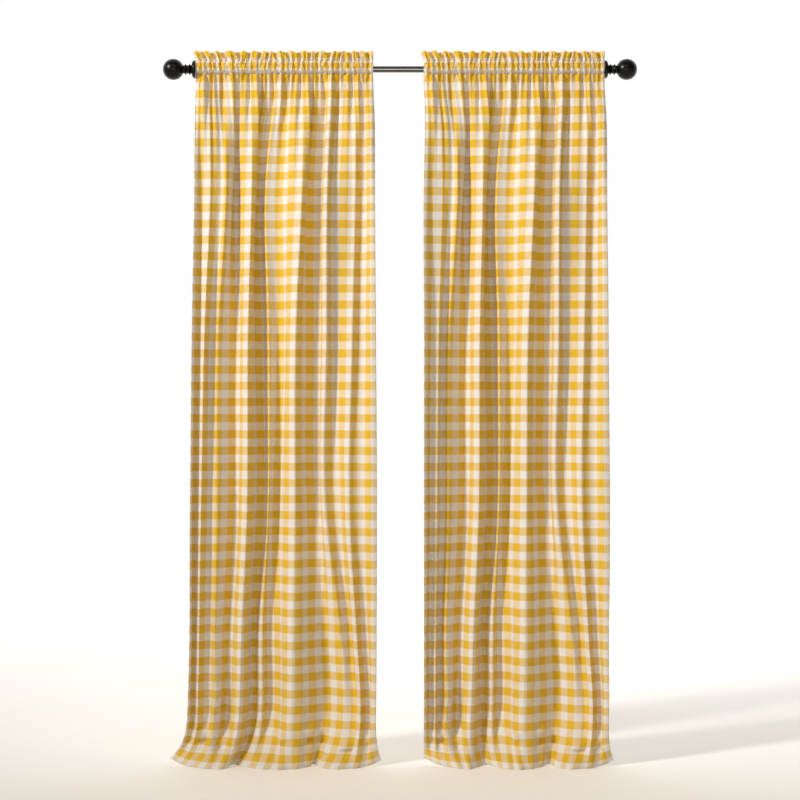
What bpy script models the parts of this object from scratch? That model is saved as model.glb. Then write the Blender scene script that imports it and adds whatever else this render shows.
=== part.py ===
"""Pair of rod-pocket curtain panels gathered on one round curtain rod with ball finials.

Metres, +Z up, the room side at -Y. The origin is on the rod's axis, halfway along it.
"""
import math

import bmesh
import bpy
import numpy as np

MM = 0.001

# Rod: a steel tube.
ROD_DIAMETER = 19.0 * MM
ROD_WALL = 1.2 * MM
ROD_HALF_LENGTH = 608.6 * MM
ROD_SIDES = 24

# Finial: one turned piece whose spigot plugs the end of the tube.
FINIAL_FACE = 609.0 * MM
FINIAL_SIDES = 20
BALL_CENTRE = 65.5
BALL_RADIUS = 31.0
BALL_ROWS = 7

# Distance out from the collar's inner face and radius there, mm.
FINIAL_PROFILE = (
    (-20.0, 0.0),
    (-20.0, 7.2),
    (-19.2, 8.0),
    (0.0, 8.0),
    (0.0, 25.8),
    (1.0, 27.0),
    (3.6, 26.8),
    (6.4, 24.8),
    (8.6, 21.2),
    (9.9, 16.8),
    (10.4, 12.6),
    (13.0, 13.4),
    (15.4, 15.0),
    (17.6, 15.8),
    (19.4, 14.6),
    (20.4, 12.0),
    (22.6, 11.6),
    (24.8, 13.0),
    (27.2, 15.0),
    (29.4, 15.8),
    (31.2, 14.6),
    (32.2, 12.0),
    (34.6, 11.6),
)
NECK_RADIUS = 11.9

# Cloth: one flat width of checked cotton, gathered on the rod.
CLOTH = 1.8 * MM
HEADING_SLAB = 2.8 * MM
FLAT_WIDTH = 831.0
SKIRT_LENGTH = 2065.0
GATHERS = 28
LINE_HIGH = 25.0
LINE_LOW = -13.0
RUFFLE_TOP = 53.0
FLOOR = -2063.0
ROD_CLEARANCE = 0.5

# Panel name, place of its heading's left end, heading width, all mm.
PANELS = (
    ("panel_left", -607.0, 527.0),
    ("panel_right", 80.5, 527.0),
)

# Drop below the lower stitch line at which the folds are set out, mm.
LEVELS = (0.0, 320.0, 790.0, 1330.0, 1680.0, 1860.0, 2065.0)

# Fold line, cloth from the left edge above and below the knee, then the place
# across at each level under the heading. All mm, valleys and ridges in turn.
FOLDS = (
    ("left edge", 0, 0, -5, -14, -19, -22, -24, -27),
    ("valley a", 39, 39, 22, 7, -4, -8, -9, -12),
    ("ridge a", 63, 63, 45, 30, 21, 15, 14, 9),
    ("valley b", 106, 106, 65, 60, 54, 49, 45, 36),
    ("ridge b", 130, 130, 80, 80, 76, 70, 64, 54),
    ("valley c", 181, 181, 108, 113, 109, 102, 94, 83),
    ("ridge c", 255, 232, 165, 156, 152, 139, 121, 107),
    ("valley d", 328, 290, 198, 199, 204, 182, 164, 152),
    ("ridge d", 378, 354, 220, 235, 226, 220, 198, 185),
    ("valley e", 414, 402, 253, 246, 225, 217, 208, 214),
    ("ridge e", 496, 496, 315, 299, 294, 291, 286, 280),
    ("valley f", 569, 569, 348, 347, 349, 351, 357, 351),
    ("ridge f", 639, 639, 393, 389, 387, 400, 402, 399),
    ("valley g", 675, 675, 412, 410, 420, 423, 426, 426),
    ("ridge g", 737, 737, 473, 464, 456, 470, 473, 470),
    ("valley h", 762, 762, 489, 482, 478, 487, 491, 491),
    ("right edge", 831, 831, 533, 536, 539, 538, 537, 533),
)

# The inner panel hangs straight at its left edge, so its first lines differ.
STRAIGHT_START = (
    ("left edge", 0, 0, -10, -10, -10, -10, -10, -10),
    ("valley a", 39, 39, 20, 12, 8, 6, 6, 6),
    ("ridge a", 63, 63, 44, 34, 28, 25, 24, 22),
)

# Drop where ridge c starts to wander through the cloth, and where it stops, mm.
KNEE_START = 1330.0
KNEE_END = 1800.0

# Bottom hem on the floor: cloth from the left edge, across, depth, lift. All mm.
HEM = (
    (0, -77, -2, 17),
    (39, -58, -14, 10),
    (63, -44, -24, 5),
    (106, -14, -42, 1),
    (150, 22, -58, 0),
    (195, 60, -68, 0),
    (231, 91, -66, 0),
    (250, 105, -53, 1),
    (266, 108, -38, 3),
    (282, 112, -24, 5),
    (300, 124, -16, 4),
    (325, 142, -30, 1),
    (350, 160, -46, 0),
    (385, 189, -64, 0),
    (440, 239, -80, 0),
    (496, 281, -70, 0),
    (540, 317, -52, 3),
    (575, 345, -33, 8),
    (600, 364, -22, 6),
    (620, 375, -34, 1),
    (650, 393, -56, 0),
    (690, 424, -67, 0),
    (737, 465, -60, 0),
    (775, 500, -49, 1),
    (805, 528, -38, 7),
    (831, 552, -28, 16),
)
HEM_START = 1800.0
STRAIGHT_HEM_EDGE = -10.0
HEM_RIPPLE = 3.0

# Pocket: height and share of its full half depth, from the low line to the high one.
POCKET_ROWS = (
    (-9.0, 0.84),
    (-3.0, 1.0),
    (5.5, 1.0),
    (14.0, 0.70),
)

# Drops at which the skirt has a row of vertices, mm.
SKIRT_ROWS = (
    2065, 2040, 2000, 1950, 1880, 1780, 1640, 1450, 1230, 1000, 760, 540, 350, 210, 120,
    60, 25, 0,
)

CLOTH_COLOUR = (0.78, 0.52, 0.14, 1.0)
BLACK = (0.012, 0.012, 0.013, 1.0)


def clear_scene():
    for item in list(bpy.data.objects):
        bpy.data.objects.remove(item, do_unlink=True)


def make_material(name, colour, roughness, metallic):
    material = bpy.data.materials.new(name)
    material.use_nodes = True
    shader = material.node_tree.nodes["Principled BSDF"]
    shader.inputs["Base Color"].default_value = colour
    shader.inputs["Roughness"].default_value = roughness
    shader.inputs["Metallic"].default_value = metallic
    return material


def make_object(name, points, faces, material, smooth):
    mesh = bpy.data.meshes.new(name)
    mesh.from_pydata([tuple(point) for point in points], [], faces)
    body = bmesh.new()
    body.from_mesh(mesh)
    bmesh.ops.recalc_face_normals(body, faces=body.faces)
    body.to_mesh(mesh)
    body.free()
    mesh.materials.append(material)
    if smooth:
        mesh.shade_smooth()
        mesh.set_sharp_from_angle(angle=math.radians(35.0))
    item = bpy.data.objects.new(name, mesh)
    bpy.context.scene.collection.objects.link(item)
    return item


def smooth_curve(place, places, values):
    """Cubic curve through the given values, with each slope taken from its neighbours."""
    places = np.asarray(places, dtype=float)
    values = np.asarray(values, dtype=float)
    slopes = np.gradient(values, places)
    index = np.clip(np.searchsorted(places, place, side="right") - 1, 0, len(places) - 2)
    span = places[index + 1] - places[index]
    u = (place - places[index]) / span
    start = values[index] * (1 + 2 * u) * (1 - u) ** 2 + slopes[index] * span * u * (1 - u) ** 2
    end = values[index + 1] * u * u * (3 - 2 * u) - slopes[index + 1] * span * u * u * (1 - u)
    return start + end


def eased(value):
    value = np.clip(value, 0.0, 1.0)
    return value * value * (3 - 2 * value)


SWING = np.linspace(0.0, 2.6, 261)
PHASE = np.linspace(0.0, math.pi, 49)
REACH = np.cos(SWING[:, None] * np.sin(PHASE[None, :-1] + PHASE[1] / 2)).mean(axis=1)


def reach_of(swing):
    """Share of its length that a wave covers when its direction swings by this angle."""
    return np.interp(swing, SWING, REACH)


def swing_for(reach):
    """The angle by which a wave's direction swings when it covers this share of its length."""
    return np.interp(-np.asarray(reach), -REACH, SWING)


def gather_phase(cloth):
    """Turns of the gathers along the cloth, slightly uneven in their spacing."""
    share = cloth / FLAT_WIDTH
    drift = 0.006 * np.sin(2 * math.pi * 3.1 * share) + 0.004 * np.sin(2 * math.pi * 7.3 * share + 1.3)
    return 2 * math.pi * GATHERS * (share + drift)


def fold_lines(folds, drop):
    """Cloth lengths and places across of every fold line at one drop."""
    knee = eased((drop - KNEE_START) / (KNEE_END - KNEE_START))
    cloth = np.array([row[1] + (row[2] - row[1]) * knee for row in folds])
    across = np.array([
        smooth_curve(drop, LEVELS, (row[1] * folds[-1][3] / FLAT_WIDTH,) + row[3:])
        for row in folds
    ])
    return cloth, across


def section(cloth, folds, drop, heading):
    """Places across and depths of the hanging cloth at one drop.

    The direction of the cloth swings once between fold lines, by the angle that
    makes each flank as wide as the table says. Fine gathers fade down from the
    heading and gathers of twice their width take up what slack is left.
    """
    line_cloth, line_across = fold_lines(folds, drop)
    start = heading[0] + (heading[1] - heading[0]) * line_cloth / FLAT_WIDTH
    line_across = start + (line_across - start) * eased(drop / 300.0)
    share = np.diff(line_across) / np.diff(line_cloth)
    fine = 1.2 * math.exp(-drop / 110.0) + 0.05
    growth = 1 - math.exp(-(drop / 300.0) ** 1.3)
    main = growth * swing_for(np.clip(share / 0.985, -0.4, 1.0))
    spare = np.clip(share / reach_of(fine) / reach_of(main), 0.6, 1.0)
    middle = np.maximum(swing_for(spare), 0.16)

    samples = np.linspace(0.0, FLAT_WIDTH, 1663)
    flank = np.clip(np.searchsorted(line_cloth, samples, side="right") - 1, 0, len(share) - 1)
    along = (samples - line_cloth[flank]) / np.diff(line_cloth)[flank]
    sign = np.where(flank % 2 == 0, 1.0, -1.0)
    centres = (line_cloth[1:] + line_cloth[:-1]) / 2
    turns = gather_phase(samples)
    angle = sign * main[flank] * np.sin(math.pi * along)
    angle += fine * np.cos(turns)
    angle += np.interp(samples, centres, middle) * np.cos(turns / 2 + 0.7)

    step = samples[1]
    across = np.concatenate(([0.0], np.cumsum((np.cos(angle[1:]) + np.cos(angle[:-1])) / 2) * step))
    depth = np.concatenate(([0.0], np.cumsum((np.sin(angle[1:]) + np.sin(angle[:-1])) / 2) * step))
    across += np.interp(samples, line_cloth, line_across - np.interp(line_cloth, samples, across))
    depth -= depth[-1] * samples / FLAT_WIDTH
    depth -= depth.mean()
    return np.interp(cloth, samples, across), np.interp(cloth, samples, depth)


def hang_skirt(cloth, folds, drops, heading, straight):
    """Middle surface of the skirt, a row per drop and a column per place on the cloth."""
    rows = np.zeros((len(drops), len(cloth), 3))
    hem = np.array(HEM, dtype=float)
    hem_across = smooth_curve(cloth, hem[:, 0], hem[:, 1])
    if straight:
        hem_across = np.maximum(hem_across, STRAIGHT_HEM_EDGE + cloth * 0.62)
    hem_depth = smooth_curve(cloth, hem[:, 0], hem[:, 2])
    hem_depth = hem_depth + HEM_RIPPLE * np.sin(gather_phase(cloth) / 2 + 0.7)
    hem_lift = smooth_curve(cloth, hem[:, 0], hem[:, 3])
    for number, drop in enumerate(drops):
        across, depth = section(cloth, folds, drop, heading)
        low = np.clip((drop - HEM_START) / (SKIRT_LENGTH - HEM_START), 0.0, 1.0)
        rows[number, :, 0] = across + (hem_across - across) * low ** 4
        rows[number, :, 1] = depth + (hem_depth - depth) * eased(low)
    rows[0, :, 2] = LINE_LOW
    for number in range(1, len(drops)):
        side = rows[number, :, :2] - rows[number - 1, :, :2]
        length = drops[number] - drops[number - 1]
        fall = np.sqrt(np.maximum(length ** 2 - (side ** 2).sum(axis=1), (0.5 * length) ** 2))
        rows[number, :, 2] = rows[number - 1, :, 2] - fall
    target = FLOOR + np.maximum(hem_lift, 0.0) + CLOTH / MM / 2
    share = np.asarray(drops) / SKIRT_LENGTH
    rows[:, :, 2] += share[:, None] * (target - rows[-1, :, 2])[None, :]
    return rows


def surface_normals(rows):
    """Unit normals towards the room, for rows that run from the bottom to the top."""
    along = np.gradient(rows, axis=1)
    up = np.gradient(rows, axis=0)
    normals = np.cross(along, up)
    return normals / np.linalg.norm(normals, axis=2)[:, :, None]


def build_panel(name, left, width, material):
    straight = name == "panel_right"
    folds = STRAIGHT_START + FOLDS[3:] if straight else FOLDS
    heading = (-10.0 if straight else 0.0, width)

    phases = np.arange(0.5, 2 * GATHERS, 1.0) * math.pi
    fine = np.linspace(0.0, FLAT_WIDTH, 4000)
    cloth = np.interp(phases, gather_phase(fine), fine)
    cloth = np.concatenate(([0.0], cloth, [FLAT_WIDTH]))

    drops = SKIRT_ROWS[::-1]
    skirt = hang_skirt(cloth, folds, drops, heading, straight)[::-1]
    base = skirt[-1]
    wave = base[:, 1]

    pocket_depth = ROD_DIAMETER / MM / 2 + ROD_CLEARANCE + CLOTH / MM / 2 + np.abs(wave).max()
    front = np.array([
        [(point[0], point[1] - share * pocket_depth, height) for point in base]
        for height, share in POCKET_ROWS
    ])
    back = front.copy()
    back[:, :, 1] = 2 * wave - front[:, :, 1]

    bumps = np.sin(gather_phase(cloth) / 2 + 0.7)
    ruffle = np.array([base, base, base])
    ruffle[0, :, 2] = LINE_HIGH
    ruffle[1, :, 2] = (LINE_HIGH + RUFFLE_TOP) / 2
    ruffle[2, :, 2] = RUFFLE_TOP - 2.5 + 2.0 * bumps
    ruffle[1, :, 1] += 2.0 * bumps
    ruffle[2, :, 1] += 4.5 * bumps
    ruffle[2, :3, 0] -= np.array((5.0, 3.0, 1.0))

    half = CLOTH / MM / 2
    slab = HEADING_SLAB / MM / 2
    outer = np.concatenate((skirt, front, ruffle))
    thick = np.array([half] * (len(skirt) - 1) + [slab] + [half] * len(front) + [slab] * 3)
    front_out = outer + surface_normals(outer) * thick[:, None, None]
    outer = np.concatenate((skirt, back, ruffle))
    back_out = outer - surface_normals(outer) * thick[:, None, None]
    front_in = front - surface_normals(front) * half
    back_in = back + surface_normals(back) * half

    low = base.copy()
    low[:, 2] = LINE_LOW + 1.6
    high = base.copy()
    high[:, 2] = LINE_HIGH - 1.6
    outside = np.concatenate((front_out, back_out[::-1]))
    inside = np.concatenate(([low], front_in, [high], back_in[::-1]))
    return sweep_loops(name, outside, inside, len(skirt), len(front), left, material)


def rising_cells(rows):
    """Whether each cell's diagonal that climbs from left to right is the shorter of its two."""
    climb = np.linalg.norm(rows[1:, 1:] - rows[:-1, :-1], axis=2)
    fall = np.linalg.norm(rows[1:, :-1] - rows[:-1, 1:], axis=2)
    return climb <= fall


def sweep_loops(name, outside, inside, skirt_count, pocket_count, left, material):
    """Closed solid from an outside loop and a tunnel loop, each a row per loop point.

    Both faces of the cloth are cut along the same diagonals, so they stay a cloth apart
    where the cloth twists.
    """
    count, columns = outside.shape[0], outside.shape[1]
    points = np.concatenate((outside, inside)).reshape(-1, 3)
    points = (points + np.array((left, 0.0, 0.0))) * MM
    faces = []

    def at(row, column):
        return row * columns + column

    def wall(first, climbs):
        rows = len(climbs)
        for row in range(rows):
            after = (row + 1) % rows
            for column in range(columns - 1):
                corners = (
                    at(first + row, column),
                    at(first + row, column + 1),
                    at(first + after, column + 1),
                    at(first + after, column),
                )
                if climbs[row, column]:
                    faces.append((corners[0], corners[1], corners[2]))
                    faces.append((corners[0], corners[2], corners[3]))
                else:
                    faces.append((corners[0], corners[1], corners[3]))
                    faces.append((corners[1], corners[2], corners[3]))

    last = count - 1
    knot = skirt_count - 1
    pocket = slice(knot, knot + pocket_count + 1)
    front = rising_cells(outside[:count // 2])
    back = front.copy()
    back[pocket] = rising_cells(outside[:count // 2 - 1:-1])[pocket]
    rim = np.ones((1, columns - 1), dtype=bool)
    wall(0, np.concatenate((front, rim, ~back[::-1], rim)))
    wall(count, np.concatenate((front[pocket], ~back[pocket][::-1])))

    low, high = count, count + pocket_count + 1
    for column in (0, columns - 1):
        for row in list(range(knot)) + list(range(knot + pocket_count + 1, count // 2 - 1)):
            faces.append(tuple(at(r, column) for r in (row, row + 1, last - row - 1, last - row)))
        for step in range(pocket_count + 1):
            row = knot + step
            inner = low + step
            faces.append(tuple(at(r, column) for r in (row, row + 1, inner + 1, inner)))
            mirror = [low if step == 0 else count + len(inside) - step]
            mirror.append(high if step == pocket_count else count + len(inside) - step - 1)
            faces.append(tuple(at(r, column) for r in (last - row, last - row - 1, mirror[1], mirror[0])))
        faces.append(tuple(at(r, column) for r in (knot, low, last - knot)))
        top = knot + pocket_count + 1
        faces.append(tuple(at(r, column) for r in (top, high, last - top)))
    return make_object(name, points, faces, material, True)


def build_rod(material):
    outer = ROD_DIAMETER / 2
    inner = outer - ROD_WALL
    rings = (
        (-ROD_HALF_LENGTH, outer),
        (ROD_HALF_LENGTH, outer),
        (ROD_HALF_LENGTH, inner),
        (-ROD_HALF_LENGTH, inner),
    )
    points = []
    for along, radius in rings:
        for side in range(ROD_SIDES):
            turn = 2 * math.pi * side / ROD_SIDES
            points.append((along, radius * math.cos(turn), radius * math.sin(turn)))
    faces = []
    for ring in range(4):
        first = ring * ROD_SIDES
        second = (ring + 1) % 4 * ROD_SIDES
        for side in range(ROD_SIDES):
            after = (side + 1) % ROD_SIDES
            faces.append((first + side, second + side, second + after, first + after))
    return make_object("rod", points, faces, material, True)


def finial_profile():
    """Distances out and radii of the turned piece, from the spigot to the ball's tip."""
    start = math.asin(NECK_RADIUS / BALL_RADIUS)
    ball = []
    for row in range(BALL_ROWS + 1):
        turn = start + (math.pi - start) * row / BALL_ROWS
        ball.append((BALL_CENTRE - BALL_RADIUS * math.cos(turn), BALL_RADIUS * math.sin(turn)))
    ball[-1] = (BALL_CENTRE + BALL_RADIUS, 0.0)
    return FINIAL_PROFILE + tuple(ball)


def build_finial(name, side_sign, material):
    profile = finial_profile()
    points = []
    rings = []
    for out, radius in profile:
        along = side_sign * (FINIAL_FACE + out * MM)
        if radius == 0.0:
            rings.append([len(points)])
            points.append((along, 0.0, 0.0))
            continue
        rings.append(list(range(len(points), len(points) + FINIAL_SIDES)))
        for side in range(FINIAL_SIDES):
            turn = 2 * math.pi * side / FINIAL_SIDES
            points.append((along, radius * MM * math.cos(turn), radius * MM * math.sin(turn)))
    faces = []
    for first, second in zip(rings, rings[1:]):
        for side in range(FINIAL_SIDES):
            after = (side + 1) % FINIAL_SIDES
            if len(first) == 1:
                faces.append((first[0], second[side], second[after]))
            elif len(second) == 1:
                faces.append((first[side], second[0], first[after]))
            else:
                faces.append((first[side], second[side], second[after], first[after]))
    return make_object(name, points, faces, material, True)


def build():
    clear_scene()
    steel = make_material("black lacquered steel", BLACK, 0.3, 0.0)
    turned = make_material("black lacquered finial", BLACK, 0.25, 0.0)
    cotton = make_material("yellow checked cotton", CLOTH_COLOUR, 0.85, 0.0)
    build_rod(steel)
    build_finial("finial_left", -1, turned)
    build_finial("finial_right", 1, turned)
    for name, left, width in PANELS:
        build_panel(name, left, width, cotton)


build()
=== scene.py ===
import math

import bpy
import numpy as np
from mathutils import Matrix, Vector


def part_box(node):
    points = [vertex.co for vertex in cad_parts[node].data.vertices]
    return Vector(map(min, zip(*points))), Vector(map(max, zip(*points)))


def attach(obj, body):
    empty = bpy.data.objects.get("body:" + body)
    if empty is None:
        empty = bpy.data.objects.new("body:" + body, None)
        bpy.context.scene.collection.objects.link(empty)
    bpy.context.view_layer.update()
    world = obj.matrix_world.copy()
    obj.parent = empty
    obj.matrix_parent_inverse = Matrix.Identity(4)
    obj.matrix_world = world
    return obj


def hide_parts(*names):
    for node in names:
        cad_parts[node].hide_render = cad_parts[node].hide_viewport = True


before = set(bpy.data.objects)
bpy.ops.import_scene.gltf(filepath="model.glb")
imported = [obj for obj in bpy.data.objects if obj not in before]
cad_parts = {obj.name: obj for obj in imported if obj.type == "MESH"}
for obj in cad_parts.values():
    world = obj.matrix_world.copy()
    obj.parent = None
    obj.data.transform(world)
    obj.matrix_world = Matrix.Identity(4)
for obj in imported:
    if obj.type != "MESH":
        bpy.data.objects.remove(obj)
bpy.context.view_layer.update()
print("frame loaded:", ", ".join(sorted(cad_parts)))

mm = 0.001
fullTurn = 2 * math.pi

# A gathered cotton panel. Lengths are mm; the cloth runs from its left edge to its right.
cloth = {
    "flatWidth": 831.0,
    "cutWidth": 871.0,
    "cutLength": 2328.0,
    "skirtLength": 2079.0,
    "thickness": 0.7,
    "gathers": 35,
    "folds": 14,
    "highLine": 25.0,
    "lowLine": -13.0,
    "ruffleTop": 53.0,
    "floor": -2067.0,
    "slack": 0.0065,
    "bottomHem": 52.0,
    "sideHem": 14.0,
    "hemFold": 0.8,
    "layerGap": 1.3,
    "columnsPerGather": 12,
}

# Panels: place of the heading's left end, how far from there its top edge starts and ends,
# and whether its left edge hangs straight.
panels = (
    {"name": "panel_left", "left": -607.0, "start": 0.0, "end": 527.0, "straight": False},
    {"name": "panel_right", "left": 80.5, "start": -10.0, "end": 527.0, "straight": True},
)

# Drop below the lower stitch line at which the folds are set out.
levels = (0.0, 320.0, 790.0, 1330.0, 1680.0, 1860.0, 2065.0)

# Fold line, how crisp it is, cloth from the left edge above and below the knee,
# then the place across at each level under the heading.
foldTable = (
    ("left edge", 0.0, 0, 0, -3, -10, -14, -17, -20, -27),
    ("valley a", 0.0, 33, 33, 19, 6, -4, -8, -9, -12),
    ("ridge a", 0.9, 63, 63, 44, 27, 17, 11, 9, 6),
    ("valley b", 0.2, 98, 98, 74, 46, 42, 34, 34, 30),
    ("ridge b", 0.9, 122, 134, 90, 65, 62, 56, 58, 52),
    ("valley c", 0.6, 181, 181, 108, 112, 107, 92, 86, 80),
    ("ridge c", 1.0, 255, 245, 165, 155, 151, 136, 132, 122),
    ("valley d", 0.5, 328, 310, 184, 192, 198, 172, 170, 164),
    ("ridge d", 0.8, 372, 348, 209, 216, 214, 196, 196, 190),
    ("valley e", 0.3, 402, 380, 236, 238, 224, 214, 212, 212),
    ("ridge e", 0.9, 496, 490, 315, 296, 293, 288, 286, 280),
    ("valley f", 0.2, 569, 610, 348, 347, 350, 380, 392, 388),
    ("ridge f", 0.8, 639, 672, 393, 389, 387, 432, 441, 438),
    ("valley g", 0.2, 675, 696, 412, 410, 420, 449, 464, 462),
    ("ridge g", 0.9, 737, 740, 473, 464, 456, 477, 488, 486),
    ("valley h", 0.0, 762, 768, 489, 482, 478, 494, 506, 504),
    ("right edge", 0.0, 831, 831, 533, 536, 539, 538, 537, 533),
)
straightStart = (
    ("left edge", 0.0, 0, 0, -10, -10, -10, -10, -10, -10),
    ("valley a", 0.0, 39, 39, 20, 12, 8, 6, 6, 6),
    ("ridge a", 0.4, 63, 63, 44, 34, 28, 25, 24, 22),
)
knee = {"start": 1330.0, "end": 1800.0}
# How folds form below the heading: drops in mm, swings of the cloth's direction in radians.
drape = {
    "settle": 180.0,          # drop at which the fold lines reach their places
    "growthDrop": 140.0,
    "growthPower": 1.2,
    "gatherSwing": 1.2,
    "gatherSpread": 0.3,      # by which the gathers' swing varies along the cloth
    "gatherFade": 120.0,      # drop over which the gathers fade
    "gatherLeft": 0.05,
    "smallShare": 0.985,      # of the cloth's length that faint creases leave to the folds
    "leastSwing": 0.16,       # of the gathers of twice the width
    "sharpness": 0.8,
    "samples": 3325,
}

# Bottom hem on the floor: cloth from the left edge, across, depth, lift.
hemTable = (
    (0, -77, -2, 17),
    (39, -58, -16, 10),
    (63, -44, -28, 5),
    (106, -14, -49, 1),
    (150, 22, -69, 0),
    (195, 60, -83, 0),
    (231, 90, -80, 0),
    (250, 100, -66, 0),
    (266, 101, -49, 1),
    (282, 105, -34, 2),
    (300, 115, -27, 2),
    (325, 133, -38, 1),
    (350, 156, -60, 0),
    (385, 189, -80, 0),
    (440, 239, -93, 0),
    (496, 287, -86, 0),
    (540, 324, -66, 0),
    (562, 340, -50, 1),
    (580, 345, -36, 2),
    (600, 350, -25, 3),
    (616, 359, -36, 2),
    (632, 370, -57, 0),
    (655, 388, -78, 0),
    (690, 420, -86, 0),
    (737, 463, -77, 0),
    (775, 498, -60, 1),
    (805, 526, -43, 7),
    (831, 552, -30, 16),
)
hem = {
    "start": 1880.0, "straightEdge": -10.0, "leastSpread": 0.62, "ripple": 3.0, "spread": 3.2,
    "flare": 2.2, "overFloor": 0.1,
}

# Buckles where the cloth meets the floor: cloth from the left edge, drop, half width, size.
# Each bulges a little above its drop and dents below it.
breaks = (
    (84.0, 1992.0, 34.0, 11.0),
    (190.0, 2012.0, 26.0, 11.0),
    (452.0, 2002.0, 26.0, 17.0),
    (560.0, 1990.0, 30.0, 13.0),
    (694.0, 2024.0, 24.0, 17.0),
    (790.0, 2005.0, 26.0, 9.0),
)
buckle = {"above": 14.0, "bulge": 13.0, "below": 8.0, "dent": 9.0, "dentShare": 0.9}
# A crease that slants down to the left above them.
slant = {"cloth": (176.0, 84.0), "drop": (1795.0, 2010.0), "halfWidth": 13.0, "size": 10.0}

# Rod pocket: share of its way up, share of its full half depth, in front and behind. The
# seams lie a little in front of the rod's axis.
frontTable = (
    (0.0, 0.0), (0.05, 0.27), (0.1, 0.52), (0.18, 0.87), (0.28, 0.98), (0.42, 1.0),
    (0.55, 0.95), (0.78, 0.6), (1.0, 0.0),
)
backTable = (
    (0.0, 0.0), (0.08, 0.76), (0.17, 0.93), (0.3, 1.0), (0.42, 1.0),
    (0.55, 0.95), (0.78, 0.6), (1.0, 0.0),
)
pocket = {
    "clearance": 0.7, "forward": 4.5, "fade": 150.0, "flatter": 0.45, "atRod": 0.85, "rows": 10,
}
# Height above the rod's axis, cloth up from the lower stitch line: gathering takes length too.
takenUp = ((-13.0, 0.0), (0.0, 22.0), (18.0, 46.2), (25.0, 58.0), (32.0, 70.5), (53.0, 94.7))
pinch = {"depth": 3.4, "perGather": 1.8, "drift": 1.5, "reach": 3.0}
crinkle = {
    "depth": 5.6, "perGather": 1.55, "roundness": 0.8, "wander": 0.9, "wanderHeight": 7.0,
    "fade": 38.0, "held": 0.85, "reach": 3.4,
}

# Ruffle: share of the way along the heading, how far the frill's top leans to the right.
leanTable = (
    (0.0, -7), (0.03, -12), (0.08, -13), (0.13, -9), (0.19, -12), (0.24, 1), (0.3, 5), (0.42, 4),
    (0.46, -8), (0.52, -5), (0.6, 2), (0.7, 2), (0.76, 7), (0.8, 11), (0.84, 2), (0.93, -4), (1.0, 0),
)
ruffle = {
    "rows": 9, "bump": 6.5, "lobe": 5.0, "foldRows": 4, "leanSpread": 2.0, "waveLost": 0.35,
}
# The turned edge behind the lower stitch line: skirt rows that it runs down, share at each row.
turnedEdge = {"skirtRow": 3, "shares": (0.0, 0.4, 1.0)}


def smoothCurve(place, places, values):
    # cubic through the values, each slope taken from its neighbours
    places = np.asarray(places, dtype=float)
    values = np.asarray(values, dtype=float)
    slopes = np.gradient(values, places)
    index = np.clip(np.searchsorted(places, place, side="right") - 1, 0, len(places) - 2)
    span = places[index + 1] - places[index]
    u = (place - places[index]) / span
    start = values[index] * (1 + 2 * u) * (1 - u) ** 2 + slopes[index] * span * u * (1 - u) ** 2
    end = values[index + 1] * u * u * (3 - 2 * u) - slopes[index + 1] * span * u * u * (1 - u)
    return start + end


def eased(value):
    # 3v squared less 2v cubed, between 0 and 1
    value = np.clip(value, 0.0, 1.0)
    return value * value * (3 - 2 * value)


def wobble(share, turns, shift):
    # mean of three sines whose rates don't share a factor, so it hardly repeats
    first = np.sin(fullTurn * turns * share + shift)
    second = np.sin(fullTurn * turns * 1.618 * share + 2.3 * shift + 1.0)
    third = np.sin(fullTurn * turns * 2.414 * share + 4.1 * shift + 2.0)
    return (first + second + third) / 3


# A wave whose direction swings by an angle covers the mean cosine of that swing.
swings = np.linspace(0.0, 2.6, 261)
halfTurn = (np.arange(48) + 0.5) / 48 * math.pi
reaches = np.cos(swings[:, None] * np.sin(halfTurn)[None, :]).mean(axis=1)


def reachOf(swing):
    return np.interp(swing, swings, reaches)


def swingFor(reach):
    return np.interp(-np.asarray(reach), -reaches, swings)


def gatherTurns(place, count):
    # evenly spaced turns along the cloth plus a slow drift that makes the spacing uneven
    share = place / cloth["flatWidth"]
    drift = 0.006 * np.sin(fullTurn * 3.1 * share) + 0.004 * np.sin(fullTurn * 7.3 * share + 1.3)
    return fullTurn * count * (share + drift)


def foldLines(folds, drop):
    # cloth lengths and places across of every fold line at one drop
    low = eased((drop - knee["start"]) / (knee["end"] - knee["start"]))
    lengths = np.array([row[2] + (row[3] - row[2]) * low for row in folds])
    across = np.array([
        smoothCurve(drop, levels, (row[2] * folds[-1][4] / cloth["flatWidth"],) + row[4:])
        for row in folds
    ])
    return lengths, across


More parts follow.
